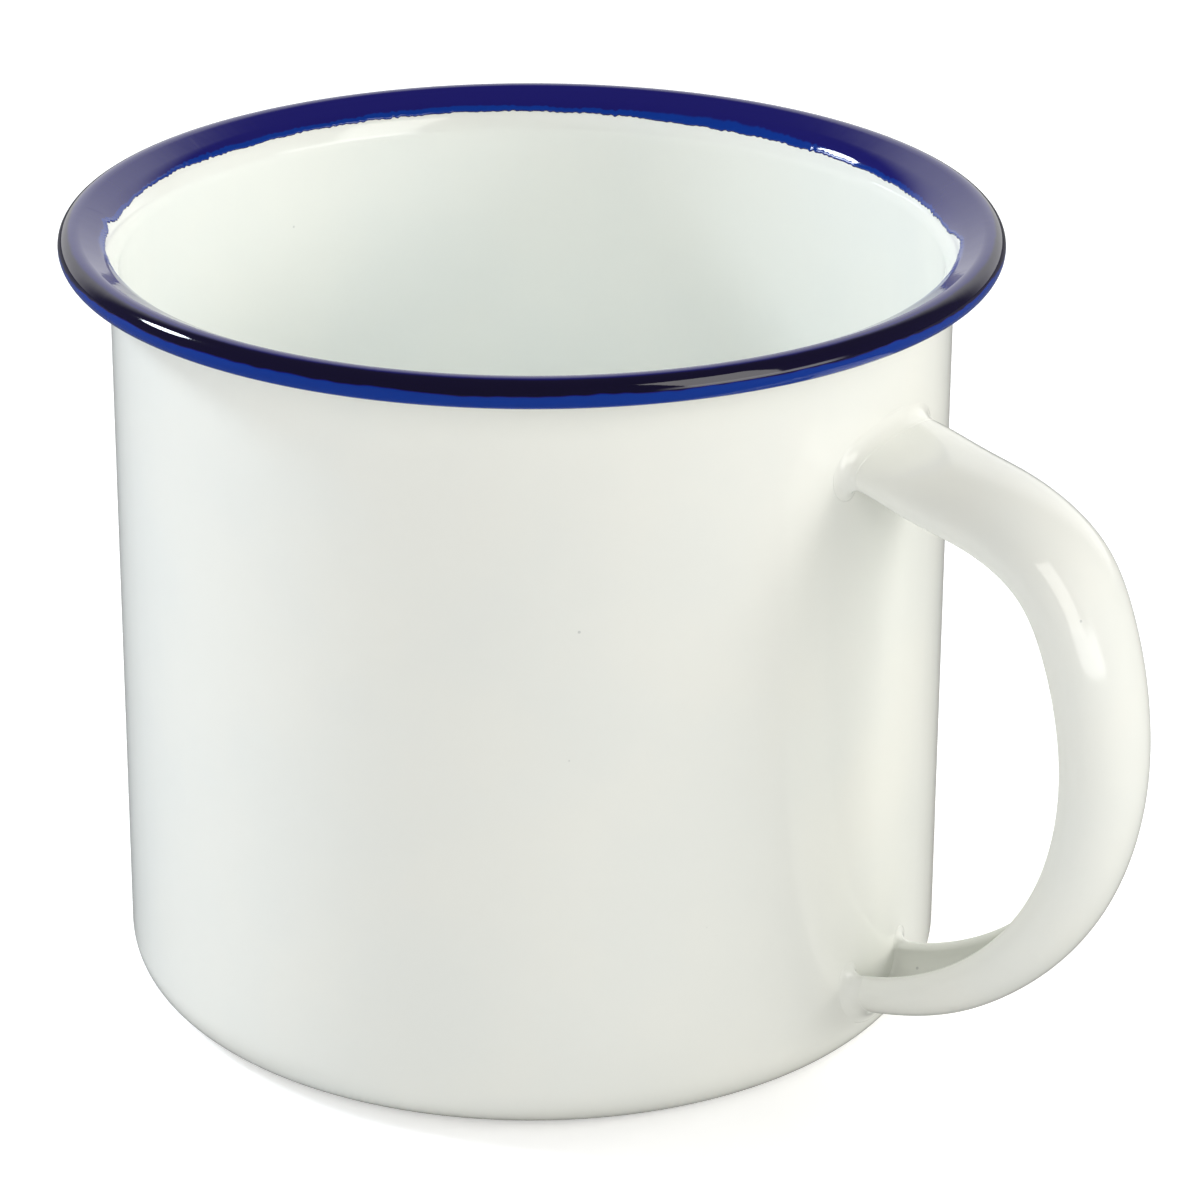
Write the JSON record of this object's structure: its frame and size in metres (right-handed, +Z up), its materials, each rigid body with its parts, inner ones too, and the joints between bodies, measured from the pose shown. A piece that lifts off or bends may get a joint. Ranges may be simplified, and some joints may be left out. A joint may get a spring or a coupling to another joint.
{
  "type": "enamelled steel mug",
  "caption": "White enamelled steel mug with a straight wall, a flared mouth, a rolled blue rim and one channel-section side handle.",
  "frame": {"origin": "centre of the flat base, on the surface that the mug stands on", "axes": "+Z up along the cup's axis, +X towards the handle, +Y completes the right-handed frame"},
  "size_m": [0.1116, 0.0894, 0.077],
  "materials": {
    "bare_steel": "cold-rolled sheet, sealed under enamel",
    "weld_metal": "resistance weld, sealed under enamel",
    "ground_enamel": "dark glass bonding coat",
    "white_enamel": "gloss white vitreous enamel",
    "blue_enamel": "gloss cobalt blue vitreous enamel"
  },
  "bodies": {
    "root": {"steel_cup": "bare_steel", "steel_handle": "bare_steel", "upper_welds": "weld_metal", "lower_welds": "weld_metal", "cup_ground_enamel": "ground_enamel", "handle_ground_enamel": "ground_enamel", "cup_white_enamel": "white_enamel", "handle_white_enamel": "white_enamel", "upper_joint_enamel": "white_enamel", "lower_joint_enamel": "white_enamel", "rim_blue_enamel": "blue_enamel"}
  },
  "joints": []
}
